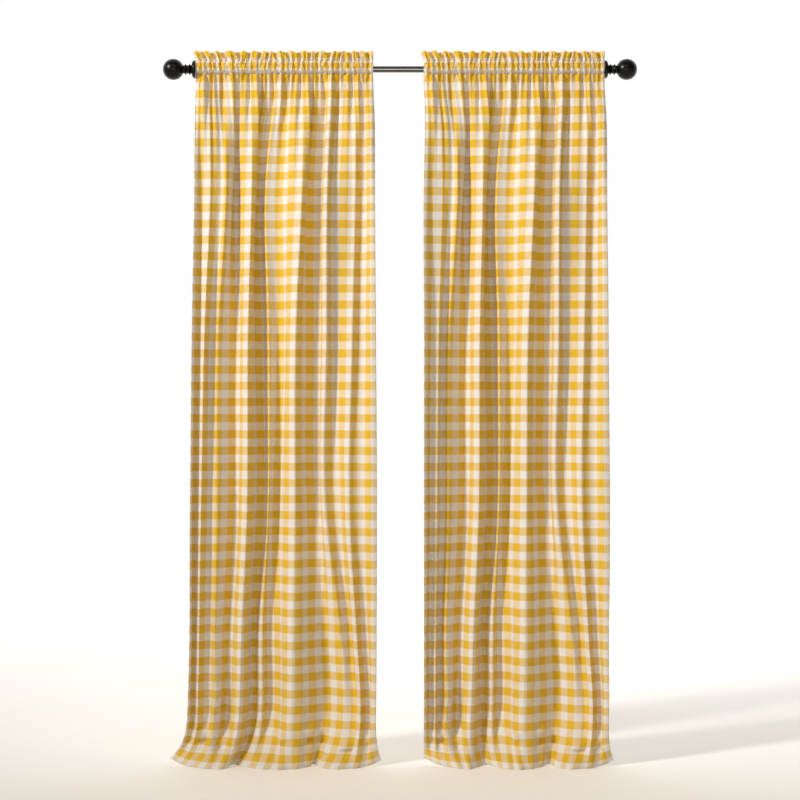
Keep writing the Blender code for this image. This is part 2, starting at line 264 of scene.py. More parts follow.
def section(place, folds, drop, panel):
    # The cloth's direction swings once between fold lines, by the angle that makes each
    # flank as wide as the table says, as a half sine raised to a small power beside a crisp
    # line. Fine gathers fade down from the heading, gathers of more than twice their width
    # take up the slack that is left, and faint creases run through all.
    lineCloth, lineAcross = foldLines(folds, drop)
    start = panel["start"] + (panel["end"] - panel["start"]) * lineCloth / cloth["flatWidth"]
    lineAcross = start + (lineAcross - start) * eased(drop / drape["settle"])
    share = np.diff(lineAcross) / np.diff(lineCloth)
    meanFine = drape["gatherSwing"] * math.exp(-drop / drape["gatherFade"]) + drape["gatherLeft"]
    growth = 1 - math.exp(-(drop / drape["growthDrop"]) ** drape["growthPower"])
    main = growth * swingFor(np.clip(share / drape["smallShare"], -0.4, 1.0))
    spare = np.clip(share / reachOf(meanFine) / reachOf(main), 0.6, 1.0)
    middle = np.maximum(swingFor(spare), drape["leastSwing"])

    samples = np.linspace(0.0, cloth["flatWidth"], drape["samples"])
    part = samples / cloth["flatWidth"]
    flank = np.clip(np.searchsorted(lineCloth, samples, side="right") - 1, 0, len(share) - 1)
    along = (samples - lineCloth[flank]) / np.diff(lineCloth)[flank]
    crisp = np.array([row[1] for row in folds])
    sharp = drape["sharpness"]
    nearStart = np.sin(math.pi * np.minimum(along, 0.5)) ** (1 - sharp * crisp[flank])
    nearEnd = np.sin(math.pi * np.minimum(1 - along, 0.5)) ** (1 - sharp * crisp[flank + 1])
    sign = np.where(flank % 2 == 0, 1.0, -1.0)
    centres = (lineCloth[1:] + lineCloth[:-1]) / 2

    fade = drape["gatherFade"] * (1 + 0.7 * wobble(part, 13.0, 0.4))
    fine = drape["gatherSwing"] + drape["gatherSpread"] * wobble(part, 17.0, 2.2)
    fine = fine * np.exp(-drop / fade) + drape["gatherLeft"]
    creases = 0.10 * wobble(part, 31.0, 0.8 + drop / 900.0)
    creases = creases + 0.06 * wobble(part, 67.0, 3.0 + drop / 500.0)
    angle = sign * main[flank] * nearStart * nearEnd
    angle += fine * np.cos(gatherTurns(samples, cloth["gathers"]))
    angle += np.interp(samples, centres, middle) * np.cos(gatherTurns(samples, cloth["folds"]) + 0.7)
    angle += creases * eased(drop / 200.0)

    step = samples[1]
    across = np.concatenate(([0.0], np.cumsum((np.cos(angle[1:]) + np.cos(angle[:-1])) / 2) * step))
    depth = np.concatenate(([0.0], np.cumsum((np.sin(angle[1:]) + np.sin(angle[:-1])) / 2) * step))
    across += np.interp(samples, lineCloth, lineAcross - np.interp(lineCloth, samples, across))
    depth -= depth[-1] * samples / cloth["flatWidth"]
    depth -= depth.mean()
    return np.interp(place, samples, across), np.interp(place, samples, depth)


def hangSkirt(place, folds, drops, panel):
    # Middle surface, a row for each drop. The rows fall evenly, a little less than the cloth
    # is long, and below the hem's start each thread leaves its fold for its place on the
    # floor, as a power of its way down.
    rows = np.zeros((len(drops), len(place), 3))
    table = np.array(hemTable, dtype=float)
    hemAcross = smoothCurve(place, table[:, 0], table[:, 1])
    if panel["straight"]:
        hemAcross = np.maximum(hemAcross, hem["straightEdge"] + place * hem["leastSpread"])
    hemDepth = smoothCurve(place, table[:, 0], table[:, 2])
    hemDepth = hemDepth + hem["ripple"] * np.sin(gatherTurns(place, cloth["folds"]) + 0.7)
    hemLift = smoothCurve(place, table[:, 0], table[:, 3])
    low = np.clip((drops - hem["start"]) / (cloth["skirtLength"] - hem["start"]), 0.0, 1.0)
    for number, drop in enumerate(drops):
        across, depth = section(place, folds, drop, panel)
        rows[number, :, 0] = across + (hemAcross - across) * low[number] ** hem["spread"]
        rows[number, :, 1] = depth + (hemDepth - depth) * low[number] ** hem["flare"]
    for centre, drop, width, size in breaks:
        # a buckle over the floor: a bell-shaped bulge outwards with a smaller dent below it
        along = np.exp(-((place - centre) / width) ** 2)
        bulge = np.exp(-((drops - drop + buckle["above"]) / buckle["bulge"]) ** 2)
        dent = np.exp(-((drops - drop - buckle["below"]) / buckle["dent"]) ** 2)
        down = bulge - buckle["dentShare"] * dent
        rows[:, :, 1] -= size * down[:, None] * along[None, :]
    # the slanting crease: bell-shaped across, rising and dying away along its length
    share = (drops - slant["drop"][0]) / (slant["drop"][1] - slant["drop"][0])
    centre = slant["cloth"][0] + (slant["cloth"][1] - slant["cloth"][0]) * share
    size = slant["size"] * np.sin(math.pi * np.clip(share, 0.0, 1.0))
    rows[:, :, 1] -= size[:, None] * np.exp(-((place[None] - centre[:, None]) / slant["halfWidth"]) ** 2)
    rows[:, :, 2] = cloth["lowLine"] - (drops * (1 - cloth["slack"]))[:, None]
    target = cloth["floor"] + np.maximum(hemLift, 0.0) + cloth["thickness"] / 2 + hem["overFloor"]
    rows[:, :, 2] += (low ** 2)[:, None] * (target - rows[-1, :, 2])[None, :]
    return rows


def pinches(place, height):
    # narrow slits that a row of stitches pulls into the gathers: one less the size of a sine
    # along the cloth, squared, fading away from the stitch line as a bell curve
    turns = gatherTurns(place, cloth["gathers"] * pinch["perGather"]) / 2
    drift = pinch["drift"] * wobble(place / cloth["flatWidth"], 23.0, 0.5)
    along = (1 - np.abs(np.sin(turns + drift))) ** 2
    fade = np.exp(-(np.asarray(height) / pinch["reach"]) ** 2)
    return pinch["depth"] * fade[:, None] * along[None, :]


def crinkles(place, height):
    # how far the gathered cloth puffs out between creases: the size of a sine along the cloth,
    # round on top and sharp in each crease; the creases wander sideways with height, and the
    # puffs are held down along both stitch lines
    share = place / cloth["flatWidth"]
    height = np.asarray(height)[:, None]
    turns = gatherTurns(place, cloth["gathers"] * crinkle["perGather"])[None] / 2
    wander = 9.0 * wobble(share, 9.0, 0.7)[None]
    wander = crinkle["wander"] * np.sin(height / crinkle["wanderHeight"] + wander)
    size = crinkle["depth"] * (1 + 0.5 * wobble(share, 15.0, 1.9)[None])
    fade = np.exp(-np.maximum(cloth["lowLine"] - height, 0.0) / crinkle["fade"])
    for line in (cloth["lowLine"], cloth["highLine"]):
        fade = fade * (1 - crinkle["held"] * np.exp(-((height - line) / crinkle["reach"]) ** 2))
    return size * fade * np.abs(np.sin(turns + wander)) ** crinkle["roundness"]


def surfaceNormals(rows):
    # cross product of the steps along the cloth and up it, made unit length
    along = np.gradient(rows, axis=1)
    up = np.gradient(rows, axis=0)
    normals = np.cross(along, up)
    return normals / np.linalg.norm(normals, axis=2)[:, :, None]


def skirtDrops():
    # rows close together under the heading and at the hem, wider between
    top = 110.0 * np.linspace(0.0, 1.0, 16) ** 1.5
    upper = np.linspace(110.0, 400.0, 11)[1:]
    middle = np.linspace(400.0, 1700.0, 23)[1:]
    lower = np.linspace(1700.0, 1930.0, 9)[1:]
    settling = np.linspace(1930.0, cloth["skirtLength"] - cloth["bottomHem"] - 0.6, 11)[1:]
    bottom = np.linspace(cloth["skirtLength"] - cloth["bottomHem"], cloth["skirtLength"], 6)
    return np.concatenate((top, upper, middle, lower, settling, bottom))


def panelSurface(panel):
    # The sheet's middle surface and its length down the cloth, followed from the hem up the
    # front, over the rod pocket and the ruffle, and down the back to the turned edge.
    folds = straightStart + foldTable[3:] if panel["straight"] else foldTable
    turns = np.arange(0.0, cloth["gathers"] * cloth["columnsPerGather"] + 1) / cloth["columnsPerGather"]
    fine = np.linspace(0.0, cloth["flatWidth"], 9000)
    spacing = gatherTurns(fine, cloth["gathers"]) / fullTurn
    spacing = (spacing - spacing[0]) / (spacing[-1] - spacing[0]) * cloth["gathers"]
    place = np.interp(turns, spacing, fine)

    drops = skirtDrops()
    skirt = hangSkirt(place, folds, drops, panel)
    wave = skirt[0, :, 1].copy()
    skirt[:, :, 1] -= (pocket["forward"] * np.exp(-drops / pocket["fade"]))[:, None]
    base = skirt[0].copy()
    rodRadius = (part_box("rod")[1][2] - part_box("rod")[0][2]) / 2 / mm
    reach = np.abs(wave).max() * (1 - pocket["atRod"] * pocket["flatter"])
    fullDepth = rodRadius + pocket["clearance"] + cloth["thickness"] / 2 + reach

    up = np.linspace(0.0, 1.0, pocket["rows"] + 2)[1:-1]
    frontDepth = smoothCurve(up, *np.array(frontTable).T) * (fullDepth - pocket["forward"])
    backDepth = smoothCurve(up, *np.array(backTable).T) * (fullDepth + pocket["forward"])
    height = cloth["lowLine"] + (cloth["highLine"] - cloth["lowLine"]) * up
    flatter = 1 - pocket["flatter"] * np.sin(math.pi * up)
    middle = wave[None] * flatter[:, None] - pocket["forward"]
    front = np.repeat(base[None], len(up), axis=0)
    front[:, :, 1] = middle - frontDepth[:, None]
    held = pinches(place, height - cloth["lowLine"]) + pinches(place, height - cloth["highLine"])
    front[:, :, 1] += held
    front[:, :, 1] -= crinkles(place, height)
    front[:, :, 2] = height[:, None]
    back = front.copy()
    back[:, :, 1] = middle + backDepth[:, None] + cloth["layerGap"]
    back[:, :, 1] += held

    bumps = np.sin(gatherTurns(place, cloth["gathers"] / 2) + 0.7)
    part = place / cloth["flatWidth"]
    rise = np.linspace(0.0, 1.0, ruffle["rows"])
    frill = np.repeat(base[None], len(rise), axis=0)
    lean = smoothCurve(part, *np.array(leanTable).T)
    lean = lean + ruffle["leanSpread"] * wobble(part, 19.0, 1.1)
    frill[:, :, 0] += lean[None] * (rise ** 1.2)[:, None]
    size = 1 + 0.6 * wobble(part, 8.0, 2.0)
    frill[:, :, 1] += (ruffle["bump"] * size * bumps)[None] * (rise ** 0.8)[:, None]
    frill[:, :, 1] -= (ruffle["waveLost"] * wave)[None] * rise[:, None]
    lobes = 1 - np.abs(np.sin(gatherTurns(place, cloth["gathers"] / 4) + 0.4))
    top = cloth["ruffleTop"] - ruffle["lobe"] * lobes * (1 + 0.5 * wobble(part, 11.0, 0.3))
    frill[:, :, 2] = cloth["highLine"] + (top - cloth["highLine"])[None] * rise[:, None]
    frillHeight = frill[:, :, 2].mean(axis=1)
    frill[:, :, 1] += pinches(place, frillHeight - cloth["highLine"])
    frill[:, :, 1] -= crinkles(place, frillHeight) * (1 - 0.5 * rise)[:, None]

    skirtHeight = skirt[:, :, 2].mean(axis=1)
    skirt[:, :, 1] += pinches(place, skirtHeight - cloth["lowLine"]) - crinkles(place, skirtHeight)
    frontSide = np.concatenate((skirt[::-1], front, frill))
    normals = surfaceNormals(frontSide)
    frillNormals = normals[-len(rise):]
    centre = frill[-1] - frillNormals[-1] * cloth["layerGap"] / 2
    bend = np.linspace(0.0, math.pi, ruffle["foldRows"] + 2)[1:-1]
    upward = np.array((0.0, 0.0, 1.0))
    fold = centre[None] + cloth["layerGap"] / 2 * (
        np.cos(bend)[:, None, None] * frillNormals[-1][None] + np.sin(bend)[:, None, None] * upward
    )
    frillBack = frill[::-1] - frillNormals[::-1] * cloth["layerGap"]
    behind = skirt[0] - normals[len(skirt) - 1] * cloth["layerGap"]
    downward = skirt[turnedEdge["skirtRow"]] - skirt[0]
    tail = np.array([behind + downward * share for share in turnedEdge["shares"]])

    surface = np.concatenate((frontSide, fold, frillBack, back[::-1], tail))
    steps = np.linalg.norm(np.diff(surface, axis=0), axis=2).mean(axis=1)
    pocketFirst = len(skirt) - 1
    steps[:pocketFirst] = -np.diff(drops[::-1])
    raised = np.interp(np.concatenate((height, frillHeight)), *np.array(takenUp).T)
    steps[pocketFirst:pocketFirst + len(raised)] = np.diff(raised, prepend=0.0)
    down = np.concatenate(([0.0], np.cumsum(steps)))
    down = down[pocketFirst] - down
    return {"surface": surface, "place": place, "down": down, "skirtRows": len(skirt),
            "pocketRows": len(up)}


def shellMesh(name, outer, inner, uv):
    # two grids of the same size joined round their rims into one closed shell
    rows, columns = outer.shape[0], outer.shape[1]
    points = np.concatenate((outer.reshape(-1, 3), inner.reshape(-1, 3)))
    index = np.arange(rows * columns).reshape(rows, columns)
    under = index + rows * columns
    face = np.stack((index[:-1, :-1], index[:-1, 1:], index[1:, 1:], index[1:, :-1]), axis=-1)
    backFace = np.stack((under[:-1, :-1], under[1:, :-1], under[1:, 1:], under[:-1, 1:]), axis=-1)

    def rim(first, second):
        return np.stack((first[:-1], second[:-1], second[1:], first[1:]), axis=-1)

    rims = np.concatenate((
        rim(index[0], under[0]),
        rim(under[-1], index[-1]),
        rim(under[:, 0], index[:, 0]),
        rim(index[:, -1], under[:, -1]),
    ))
    faces = np.concatenate((face.reshape(-1, 4), backFace.reshape(-1, 4), rims))
    item = meshFrom(name, points * mm, faces)
    layer = item.data.uv_layers.new(name="cloth")
    coordinates = np.concatenate((uv.reshape(-1, 2), uv.reshape(-1, 2)))
    layer.data.foreach_set("uv", coordinates[faces.reshape(-1)].astype(np.float32).reshape(-1))
    return item


def meshFrom(name, points, faces):
    mesh = bpy.data.meshes.new(name)
    mesh.from_pydata(points.tolist(), [], faces.tolist())
    mesh.shade_smooth()
    item = bpy.data.objects.new(name, mesh)
    bpy.context.scene.collection.objects.link(item)
    return item


def linearColour(code):
    # sRGB hex to linear: each channel is divided by 12.92 near black, else raised to 2.4
    values = np.array([int(code[at:at + 2], 16) / 255 for at in (1, 3, 5)])
    linear = np.where(values <= 0.04045, values / 12.92, ((values + 0.055) / 1.055) ** 2.4)
    return tuple(float(value) for value in linear) + (1.0,)


def addNode(tree, kind, settings=None, links=None):
    node = tree.nodes.new(kind)
    for key, value in (settings or {}).items():
        if isinstance(key, int) or key in node.inputs:
            node.inputs[key].default_value = value
        else:
            setattr(node, key, value)
    for key, source in (links or {}).items():
        tree.links.new(source, node.inputs[key])
    return node


def newMaterial(name):
    material = bpy.data.materials.new(name)
    material.use_nodes = True
    tree = material.node_tree
    return material, tree, tree.nodes["Principled BSDF"]


# Yarn-dyed gingham: plain-woven cotton, equal bands of yellow and white yarn both ways.
# Where they cross like on like it is full yellow or white, and elsewhere a pale mix.
gingham = {
    "period": 48.45,          # mm, a yellow band and a white one
    "warpStart": 14.5,        # mm from the left edge to the first yellow band
    "weftStart": 2.2,         # mm below the lower stitch line
    "edge": 0.9,              # mm over which one band turns to the next
    "thread": 1.3,            # mm; real ones lie 0.4 mm apart, too fine to show, so drawn coarser
    "drift": 1.5,             # mm by which the bands wander
    "weftShare": 0.60,        # of what shows where unlike yarns cross; the weft lies higher
    "weaveShare": 0.3,        # by which single threads change that share
    "depthOfDye": 0.8,        # power that deepens the mixed bands
    "yellow": "#E1B414",
    "white": "#E9E5E2",
}


def makeCotton():
    material, tree, shader = newMaterial("yarn-dyed gingham cotton")
    period = gingham["period"] * mm
    uvMap = addNode(tree, "ShaderNodeUVMap", {"uv_map": "cloth"})
    drift = addNode(tree, "ShaderNodeTexNoise", {"Scale": 9.0, "Detail": 2.0},
                    {"Vector": uvMap.outputs["UV"]})
    wander = gingham["drift"] * mm
    shift = addNode(tree, "ShaderNodeVectorMath",
                    {"operation": "MULTIPLY_ADD", 1: (2 * wander,) * 3, 2: (-wander,) * 3},
                    {0: drift.outputs["Color"]})
    moved = addNode(tree, "ShaderNodeVectorMath", {"operation": "ADD"},
                    {0: uvMap.outputs["UV"], 1: shift.outputs["Vector"]})
    axes = addNode(tree, "ShaderNodeSeparateXYZ", links={"Vector": moved.outputs["Vector"]})
    sharp = period / (fullTurn * gingham["edge"] * mm)

    def bands(source, start):
        # a steep sine of the place, cut to 0 and 1
        turn = addNode(tree, "ShaderNodeMath",
                       {"operation": "MULTIPLY_ADD", 1: fullTurn / period,
                        2: -fullTurn * start * mm / period},
                       {0: source})
        wave = addNode(tree, "ShaderNodeMath", {"operation": "SINE"}, {0: turn.outputs[0]})
        return addNode(tree, "ShaderNodeMath",
                       {"operation": "MULTIPLY_ADD", 1: sharp, 2: 0.5, "use_clamp": True},
                       {0: wave.outputs[0]})

    warp = bands(axes.outputs["X"], gingham["warpStart"])
    weft = bands(axes.outputs["Y"], gingham["weftStart"])

    # which yarn lies on top, thread by thread
    fine = addNode(tree, "ShaderNodeSeparateXYZ", links={"Vector": uvMap.outputs["UV"]})
    pitch = fullTurn / (gingham["thread"] * mm)
    threads = []
    for axis in ("X", "Y"):
        turn = addNode(tree, "ShaderNodeMath", {"operation": "MULTIPLY", 1: pitch},
                       {0: fine.outputs[axis]})
        threads.append(addNode(tree, "ShaderNodeMath", {"operation": "SINE"}, {0: turn.outputs[0]}))
    crossing = addNode(tree, "ShaderNodeMath", {"operation": "MULTIPLY"},
                       {0: threads[0].outputs[0], 1: threads[1].outputs[0]})
    onTop = addNode(tree, "ShaderNodeMath",
                    {"operation": "MULTIPLY_ADD", 1: gingham["weaveShare"],
                     2: gingham["weftShare"], "use_clamp": True},
                    {0: crossing.outputs[0]})
    mixed = addNode(tree, "ShaderNodeMix", {"data_type": "FLOAT"},
                    {0: onTop.outputs[0], 2: warp.outputs[0], 3: weft.outputs[0]})
    dyed = addNode(tree, "ShaderNodeMath", {"operation": "POWER", 1: gingham["depthOfDye"]},
                   {0: mixed.outputs[0]})

    # thick and thin yarn, as faint streaks along each thread direction
    streaks = []
    for scale in ((900.0, 9.0, 1.0), (9.0, 900.0, 1.0)):
        stretch = addNode(tree, "ShaderNodeMapping", {"Scale": scale}, {"Vector": uvMap.outputs["UV"]})
        streaks.append(addNode(tree, "ShaderNodeTexNoise",
                               {"Scale": 1.0, "Detail": 3.0, "Roughness": 0.6},
                               {"Vector": stretch.outputs["Vector"]}))
    slub = addNode(tree, "ShaderNodeMath", {"operation": "ADD"},
                   {0: streaks[0].outputs["Fac"], 1: streaks[1].outputs["Fac"]})
    tone = addNode(tree, "ShaderNodeMapRange",
                   {"From Min": 0.6, "From Max": 1.4, "To Min": 0.9, "To Max": 1.0},
                   {"Value": slub.outputs[0]})

    colour = addNode(tree, "ShaderNodeMix",
                     {"data_type": "RGBA", 6: linearColour(gingham["white"]),
                      7: linearColour(gingham["yellow"])},
                     {0: dyed.outputs[0]})
    shaded = addNode(tree, "ShaderNodeVectorMath", {"operation": "SCALE"},
                     {0: colour.outputs[2], "Scale": tone.outputs["Result"]})
    tree.links.new(shaded.outputs["Vector"], shader.inputs["Base Color"])

    relief = addNode(tree, "ShaderNodeMath", {"operation": "MULTIPLY_ADD", 1: 0.6},
                     {0: crossing.outputs[0], 2: slub.outputs[0]})
    bump = addNode(tree, "ShaderNodeBump", {"Strength": 0.25, "Distance": 0.0002},
                   {"Height": relief.outputs[0]})
    tree.links.new(bump.outputs["Normal"], shader.inputs["Normal"])
    shader.inputs["Roughness"].default_value = 0.88
    shader.inputs["Sheen Weight"].default_value = 0.2
    shader.inputs["Sheen Roughness"].default_value = 0.5
    shader.inputs["Specular IOR Level"].default_value = 0.5
    return material


def makeThread():
    # Spun polyester sewing thread, tan yellow: its own pale yellow darkened in part as painted shade for
    # the shadowed puckers along the stitch lines. A soft lustre and a fine two-ply twist.
    material, tree, shader = newMaterial("spun polyester thread")
    place = addNode(tree, "ShaderNodeTexCoord")
    twist = addNode(tree, "ShaderNodeTexNoise", {"Scale": 1800.0, "Detail": 1.0},
                    {"Vector": place.outputs["Object"]})
    # two tan yellows, in part painted shade for the shadowed puckers at the stitch lines
    colour = addNode(tree, "ShaderNodeMix",
                     {"data_type": "RGBA", 6: linearColour("#B89C5C"), 7: linearColour("#D9C48C")},
                     {0: twist.outputs["Fac"]})
    tree.links.new(colour.outputs[2], shader.inputs["Base Color"])
    shader.inputs["Roughness"].default_value = 0.55
    return material


def makeLacquer(name, code, roughness, coat, coatIor, coatRoughness):
    # Sprayed black lacquer: near black, a clear coat, a faint orange-peel ripple about 4 mm
    # across, and dust that dulls it in patches of about 25 mm.
    material, tree, shader = newMaterial(name)
    place = addNode(tree, "ShaderNodeTexCoord")
    peel = addNode(tree, "ShaderNodeTexNoise", {"Scale": 260.0, "Detail": 2.0},
                   {"Vector": place.outputs["Object"]})
    dust = addNode(tree, "ShaderNodeTexNoise", {"Scale": 40.0, "Detail": 4.0},
                   {"Vector": place.outputs["Object"]})
    shine = addNode(tree, "ShaderNodeMapRange",
                    {"From Min": 0.3, "From Max": 0.7, "To Min": roughness - 0.04,
                     "To Max": roughness + 0.05},
                    {"Value": dust.outputs["Fac"]})
    bump = addNode(tree, "ShaderNodeBump", {"Strength": 0.06, "Distance": 0.0003},
                   {"Height": peel.outputs["Fac"]})
    tree.links.new(shine.outputs["Result"], shader.inputs["Roughness"])
    tree.links.new(bump.outputs["Normal"], shader.inputs["Normal"])
    shader.inputs["Base Color"].default_value = linearColour(code)
    shader.inputs["Specular IOR Level"].default_value = 0.15
    shader.inputs["Coat Weight"].default_value = coat
    shader.inputs["Coat IOR"].default_value = coatIor
    shader.inputs["Coat Roughness"].default_value = coatRoughness
    return material


# Sewing stitches, mm. They lie a little over the cloth, and inside the turned edges by inset.
stitch = {"length": 2.6, "pitch": 3.4, "radius": 0.28, "sides": 6, "lift": 0.1, "inset": 3.0}


def stitchMesh(name, centres, runs, normals, thread):
    # one short capsule for each stitch: rings of a half sine radius along its run
    ringAlong = np.array((-0.5, -0.36, 0.0, 0.36, 0.5))
    ringRadius = np.array((0.15, 0.75, 1.0, 0.75, 0.15))
    around = np.arange(stitch["sides"]) / stitch["sides"] * fullTurn
    sideways = np.cross(normals, runs)
    shape = (
        ringAlong[:, None, None, None] * stitch["length"] * runs[None, None]
        + (ringRadius[:, None] * np.cos(around))[:, :, None, None] * stitch["radius"] * sideways[None, None]
        + (ringRadius[:, None] * np.sin(around))[:, :, None, None] * stitch["radius"] * normals[None, None]
    )
    points = (centres[None, None] + shape).transpose(2, 0, 1, 3).reshape(-1, 3)
    rings, sides = len(ringAlong), stitch["sides"]
    index = np.arange(rings * sides).reshape(rings, sides)
    after = np.roll(index, -1, axis=1)
    quads = np.stack((index[:-1], after[:-1], after[1:], index[1:]), axis=-1).reshape(-1, 4)
    offsets = np.arange(len(centres)) * rings * sides
    faces = (quads[None] + offsets[:, None, None]).reshape(-1, 4).tolist()
    faces += (index[0][::-1][None] + offsets[:, None]).tolist()
    faces += (index[-1][None] + offsets[:, None]).tolist()
    mesh = bpy.data.meshes.new(name)
    mesh.from_pydata((points * mm).tolist(), [], faces)
    mesh.shade_smooth()
    item = bpy.data.objects.new(name, mesh)
    bpy.context.scene.collection.objects.link(item)
    item.data.materials.append(thread)
    return item


def stitchesAlong(line, normals):
    # places a stitch every pitch along a line of points, lifted off the cloth along its normal
    steps = np.linalg.norm(np.diff(line, axis=0), axis=1)
    lengths = np.concatenate(([0.0], np.cumsum(steps)))
    places = np.arange(stitch["pitch"], lengths[-1] - stitch["pitch"], stitch["pitch"])

    def sample(values, at):
        return np.stack([np.interp(at, lengths, values[:, axis]) for axis in range(3)], axis=-1)

    runs = sample(line, places + 0.5) - sample(line, places - 0.5)
    runs /= np.linalg.norm(runs, axis=1)[:, None]
    facing = sample(normals, places)
    facing -= (facing * runs).sum(axis=1)[:, None] * runs
    facing /= np.linalg.norm(facing, axis=1)[:, None]
    return sample(line, places) + facing * stitch["lift"], runs, facing


def makePanel(panel, cotton, thread):
    made = panelSurface(panel)
    surface, place, down = made["surface"], made["place"], made["down"]
    normals = surfaceNormals(surface)
    skirtRows = made["skirtRows"]
    half = cloth["thickness"] / 2

    rowDown = down[:, None]
    edge = np.minimum(place, cloth["flatWidth"] - place)[None, :]
    inHem = (rowDown > cloth["skirtLength"] - cloth["bottomHem"] + 0.3) | (edge < cloth["sideHem"])
    onSkirt = (np.arange(len(down)) < skirtRows - 2)[:, None]
    inner = half + cloth["hemFold"] * (inHem & onSkirt)
    outerSide = surface + normals * half
    innerSide = surface - normals * inner[:, :, None]
    uv = np.stack(np.broadcast_arrays(place[None, :] * mm, down[:, None] * mm), axis=-1)
    item = shellMesh(panel["name"] + "_cloth", outerSide, innerSide, uv)

    sets = []
    pocketTop = skirtRows - 1 + made["pocketRows"] + 1
    for row in (skirtRows - 1, pocketTop):
        sets.append(stitchesAlong(outerSide[row], normals[row]))
    inset = stitch["inset"]
    hemRow = np.searchsorted(-down, -(cloth["skirtLength"] - cloth["bottomHem"] + inset))
    sets.append(stitchesAlong(outerSide[hemRow], normals[hemRow]))
    for column in (np.searchsorted(place, cloth["sideHem"] - inset),
                   np.searchsorted(place, cloth["flatWidth"] - cloth["sideHem"] + inset)):
        sets.append(stitchesAlong(outerSide[:skirtRows, column], normals[:skirtRows, column]))
    centres, runs, facing = (np.concatenate(parts) for parts in zip(*sets))
    seams = stitchMesh(panel["name"] + "_stitches", centres, runs, facing, thread)

    shift = panel["left"] * mm
    for piece in (item, seams):
        points = np.empty(len(piece.data.vertices) * 3, dtype=np.float32)
        piece.data.vertices.foreach_get("co", points)
        points[0::3] += shift
        piece.data.vertices.foreach_set("co", points)
        piece.data.update()
        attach(piece, "root")
    item.data.materials.append(cotton)
    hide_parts(panel["name"])
    print(panel["name"], "made:", len(item.data.polygons), "faces,", len(centres), "stitches")


# The rod and its finials are turned about the rod's axis. Lengths in mm.
finial = {
    "collarRadius": 27.0, "collarLength": 10.4, "neckRadius": 11.9, "ringRadius": 15.8,
    "rings": ((10.6, 20.4), (22.6, 32.2)), "ballCentre": 65.5, "ballRadius": 31.0, "sides": 96,
    "rim": 1.2, "doming": 0.87, "neckEnd": 36.6, "ringLateness": 2.05,
}
rodShape = {"wall": 1.2, "sides": 72, "lip": 0.4}


def turned(name, along, radii, sides):
    # a profile of places along X and radii, carried round the rod's axis
    around = np.arange(sides) / sides * fullTurn
    points = np.stack(np.broadcast_arrays(
        along[:, None], radii[:, None] * np.cos(around), radii[:, None] * np.sin(around)), axis=-1)
    index = np.arange(len(along) * sides).reshape(len(along), sides)
    after = np.roll(index, -1, axis=1)
    quads = np.stack((index[:-1], index[1:], after[1:], after[:-1]), axis=-1).reshape(-1, 4).tolist()
    if radii[0] > 0 and abs(along[0] - along[-1]) > 1e-9:
        quads += [index[0].tolist(), index[-1][::-1].tolist()]
    return meshFrom(name, points.reshape(-1, 3) * mm, np.array(quads, dtype=object))


def finialProfile():
    # a domed collar, a rounded square to the power 2.3, which is 2 over the doming; then a neck
    # with two rings, each a sine that peaks late so its steep side faces the ball; then the ball
    out = finial
    turn = np.linspace(0.0, math.pi / 2, 22)
    rim = np.linspace(0.0, math.pi / 2, 6)
    dome = out["collarRadius"] - out["neckRadius"]
    width, doming = out["rim"], out["doming"]
    collarAlong = np.concatenate((
        width - width * np.cos(rim[:-1]),
        width + (out["collarLength"] - width) * np.sin(turn) ** doming,
    ))
    collarRadius = np.concatenate((
        out["collarRadius"] - width + width * np.sin(rim[:-1]),
        out["neckRadius"] + dome * np.cos(turn) ** doming,
    ))
    neck = np.linspace(out["collarLength"] + 0.05, out["neckEnd"], 90)
    neckRadius = np.full(len(neck), out["neckRadius"])
    for first, last in out["rings"]:
        inside = np.clip((neck - first) / (last - first), 0.0, 1.0)
        late = inside ** out["ringLateness"]
        neckRadius += (out["ringRadius"] - out["neckRadius"]) * np.sin(math.pi * late)
    start = math.asin(out["neckRadius"] / out["ballRadius"])
    ball = np.linspace(start, math.pi - 0.02, 44)
    along = np.concatenate((
        [-20.0, -20.0, -19.2, 0.0],
        collarAlong,
        neck,
        out["ballCentre"] - out["ballRadius"] * np.cos(ball),
    ))
    radii = np.concatenate((
        [0.1, 7.2, 8.0, 8.0],
        collarRadius,
        neckRadius,
        out["ballRadius"] * np.sin(ball),
    ))
    return along, radii


def makeFinial(name, side, lacquer):
    face = abs(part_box("finial_right")[1][0]) / mm - finial["ballCentre"] - finial["ballRadius"]
    along, radii = finialProfile()
    if side < 0:
        item = turned(name + "_turned", -(face + along)[::-1], radii[::-1], finial["sides"])
    else:
        item = turned(name + "_turned", face + along, radii, finial["sides"])
    item.data.materials.append(lacquer)
    item.data.set_sharp_from_angle(angle=math.radians(40.0))
    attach(item, "root")
    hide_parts(name)


def makeRod(lacquer):
    low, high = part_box("rod")
    outer = (high[2] - low[2]) / 2 / mm
    inner = outer - rodShape["wall"]
    lip = rodShape["lip"]
    left, right = low[0] / mm, high[0] / mm
    along = np.array((left, left, left + lip, right - lip, right, right))
    radii = np.array((inner, outer - lip, outer, outer, outer - lip, inner))
    along = np.append(along, along[0])
    radii = np.append(radii, radii[0])
    item = turned("rod_tube", along, radii, rodShape["sides"])
    item.data.materials.append(lacquer)
    item.data.set_sharp_from_angle(angle=math.radians(40.0))
    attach(item, "root")
    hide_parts("rod")


studio = {
    "floorSize": 14.0,
    "floor": "#F2EFEA",
    "camera": (0.0, -5.622, -0.984),
    "lens": 85.0,
    "sensor": 36.0,
    "floorGlow": 0.6,
    "glowMiddle": -3.0,       # m along Y; the glow sets in on both sides of here
    "glowStart": 2.0,
    "glowFull": 6.0,
    "roomSide": (0.21, 0.168, 0.105, 1.0),
    "backSide": (1.0, 1.0, 1.0, 1.0),
    "sideBlend": (-0.1, 0.35),
    "lampColour": (1.0, 0.97, 0.92),
}
